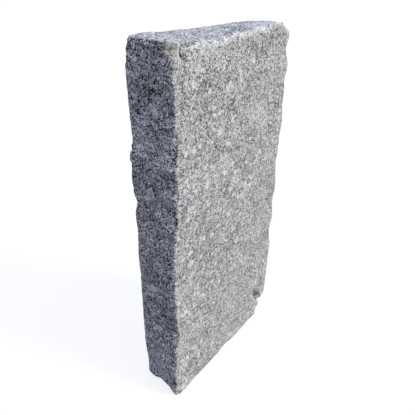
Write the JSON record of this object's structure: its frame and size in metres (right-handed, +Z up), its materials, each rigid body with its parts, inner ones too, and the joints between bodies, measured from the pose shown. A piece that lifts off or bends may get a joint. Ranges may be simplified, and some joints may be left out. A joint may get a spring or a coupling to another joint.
{
  "type": "granite kerb stone",
  "caption": "Long rectangular block of split grey granite standing on end, with wavering arrises, rough narrow sides, chipped corners and a flat foot to rest on.",
  "frame": {"origin": "middle of the stone's outline, on the plane of its foot", "axes": "+Z up the stone's length, +X across its width from the left narrow side to the right one, +Y through its thickness from the front broad face to the back one"},
  "size_m": [0.322, 0.0866, 0.6185],
  "materials": {
    "granite": "matte"
  },
  "bodies": {
    "root": {"kerb_stone": "granite"}
  },
  "joints": []
}
